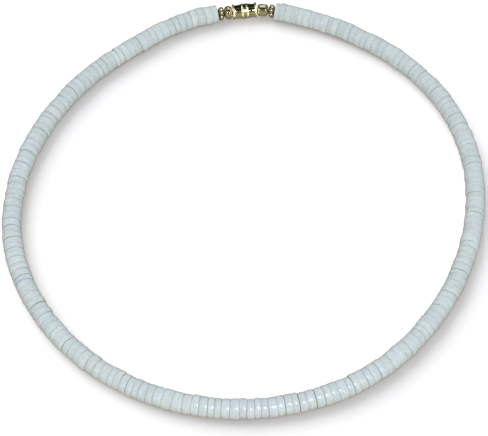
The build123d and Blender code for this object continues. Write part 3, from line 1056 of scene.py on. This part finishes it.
def make_floor(name, colour, glow, depth):
    """A wide floor at a depth below the necklace, which reflections don't show."""
    material, nodes = new_material(name)
    surface = nodes.add("ShaderNodeBsdfDiffuse", {"Color": (*colour, 1)})
    shine = nodes.add("ShaderNodeEmission", {"Strength": glow})
    nodes.finish(nodes.add("ShaderNodeAddShader", {0: surface.outputs[0], 1: shine.outputs[0]}))
    reach = FLOOR_REACH
    corners = [(-reach, -reach, 0), (reach, -reach, 0), (reach, reach, 0), (-reach, reach, 0)]
    mesh = bpy.data.meshes.new(name)
    mesh.from_pydata(corners, [], [(0, 1, 2, 3)])
    mesh.materials.append(material)
    floor = bpy.data.objects.new(name, mesh)
    floor.location.z = -depth
    floor.visible_glossy = False
    bpy.context.scene.collection.objects.link(floor)
    return floor


def make_floors():
    """The floor that the camera sees, and a duller one under it that lights the shells from below."""
    seen = make_floor("floor", FLOOR_COLOUR, FLOOR_GLOW, 0)
    seen.visible_diffuse = False
    seen.visible_transmission = False
    seen.visible_shadow = False
    bounce = make_floor("floor_bounce", BOUNCE_COLOUR, 0, BOUNCE_DEPTH)
    bounce.visible_camera = False
    return [seen, bounce]


def add_light(light, place):
    """Puts a light at a place, aimed at the loop's middle and hidden from the camera."""
    lamp = bpy.data.objects.new(light.name, light)
    lamp.location = place
    lamp.rotation_mode = "QUATERNION"
    lamp.rotation_quaternion = place.to_track_quat("Z", "Y")
    lamp.visible_camera = False
    bpy.context.scene.collection.objects.link(lamp)
    return lamp


def add_lamp(name, width, power, place, pieces):
    """A round lamp that shines on some pieces only."""
    light = bpy.data.lights.new(name, "AREA")
    light.shape = "DISK"
    light.size = width
    light.energy = power
    lamp = add_light(light, place)
    show_only_in(lamp, pieces)
    return lamp


def add_sun(name, bearing, elevation, width, strength, things):
    """A wide sun that shines on some things only. It isn't reflected: the room is there for that."""
    light = bpy.data.lights.new(name, "SUN")
    light.energy = strength
    light.angle = math.radians(width)
    bearing, elevation = math.radians(bearing), math.radians(elevation)
    level = math.cos(elevation)
    place = (math.cos(bearing) * level, math.sin(bearing) * level, math.sin(elevation))
    sun = add_light(light, Vector(place))
    sun.visible_glossy = False
    show_only_in(sun, things)


def make_lights(floors, pieces):
    """The sky lights everything. The floor has a key light of its own, and the lights from the front
    don't reach it, so that they throw no second shadow."""
    world = bpy.data.worlds.new("world")
    world.use_nodes = True
    background = world.node_tree.nodes["Background"]
    background.inputs["Color"].default_value = (*SKY_COLOUR, 1)
    background.inputs["Strength"].default_value = SKY_STRENGTH
    bpy.context.scene.world = world
    add_sun("floor_key", *FLOOR_KEY, floors)
    add_sun("pieces_key", *PIECES_KEY, pieces)
    add_sun("front", *FRONT_LIGHT, pieces)
    add_lamp("lamp", *LAMP, pieces).visible_glossy = False


def make_highlights(shells, clasp, beads, spacers):
    """What only shows as a highlight on some pieces: glints on the front discs, the clasp's bright
    rings, a soft glow behind the beads and spacers, and a light on the spacers' grains."""
    make_bright_sides(clasp)
    show_only_in(add_card("clasp_card", *CLASP_CARD), clasp)
    for name, lamp, pieces in (
        ("glint", GLINT, [shells[number - 1] for number in GLINT_RUNS]),
        ("glow", GLOW, beads + spacers),
        ("spacer_light", SPACER_LIGHT, spacers),
    ):
        add_lamp(name, *lamp, pieces).visible_diffuse = False


def make_camera():
    elevation = math.radians(CAMERA_ELEVATION)
    back = Vector((0, -math.cos(elevation), math.sin(elevation)))
    camera = bpy.data.cameras.new("camera")
    camera.lens = LENS
    camera.sensor_width = SENSOR
    camera.clip_start = 0.01
    camera.clip_end = 20
    holder = bpy.data.objects.new("camera", camera)
    holder.location = CAMERA_TARGET + back * CAMERA_DISTANCE
    holder.rotation_mode = "QUATERNION"
    holder.rotation_quaternion = (-back).to_track_quat("-Z", "Y")
    bpy.context.scene.collection.objects.link(holder)
    bpy.context.scene.camera = holder


def make_shells(track, start, end):
    """Every run of discs between two distances along the track."""
    runs = draw_discs(start, end, track.length)
    draw = random.Random(LOOK_SEED)
    joints = draw_joints(track, runs, draw)
    material = shell_material()
    shells = []
    used = 0
    for number, discs in enumerate(runs, start=1):
        run_joints = joints[used : used + len(discs) + 1]
        name, node = f"shell_discs_{number:02d}", f"shell_run_{number:02d}"
        shells.append(make_shell_discs(name, node, discs, run_joints, track, draw, material))
        used += len(discs)
    return shells


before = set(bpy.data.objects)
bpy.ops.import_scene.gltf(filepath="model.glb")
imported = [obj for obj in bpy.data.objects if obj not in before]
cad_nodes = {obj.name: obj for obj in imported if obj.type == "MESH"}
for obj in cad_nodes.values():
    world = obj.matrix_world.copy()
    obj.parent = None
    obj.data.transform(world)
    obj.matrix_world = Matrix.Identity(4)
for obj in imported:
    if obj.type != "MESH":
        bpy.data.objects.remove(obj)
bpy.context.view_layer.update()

bpy.context.scene.view_settings.view_transform = "Standard"
make_camera()
floors = make_floors()
make_reflections()

corners = route_corners()
track = Track(corners)
first_run, last_run = cad_nodes["shell_run_01"], cad_nodes[f"shell_run_{len(RUN_ROOM):02d}"]
shells_start = min(track.distance(vertex.co) for vertex in first_run.data.vertices)
shells_end = max(track.distance(vertex.co) for vertex in last_run.data.vertices)
shells = make_shells(track, shells_start, shells_end)
polished, satin = gold_material(*POLISHED_GOLD), gold_material(*SATIN_GOLD)
clasp, beads, spacers = make_metal(
    corners, track.point(shells_start), track.point(shells_end), polished, satin
)
thread = cad_nodes["thread"]
thread.data.materials.clear()
thread.data.materials.append(thread_material())

make_highlights(shells, clasp, beads, spacers)
make_lights(floors, [*shells, *clasp, *beads, *spacers, thread])
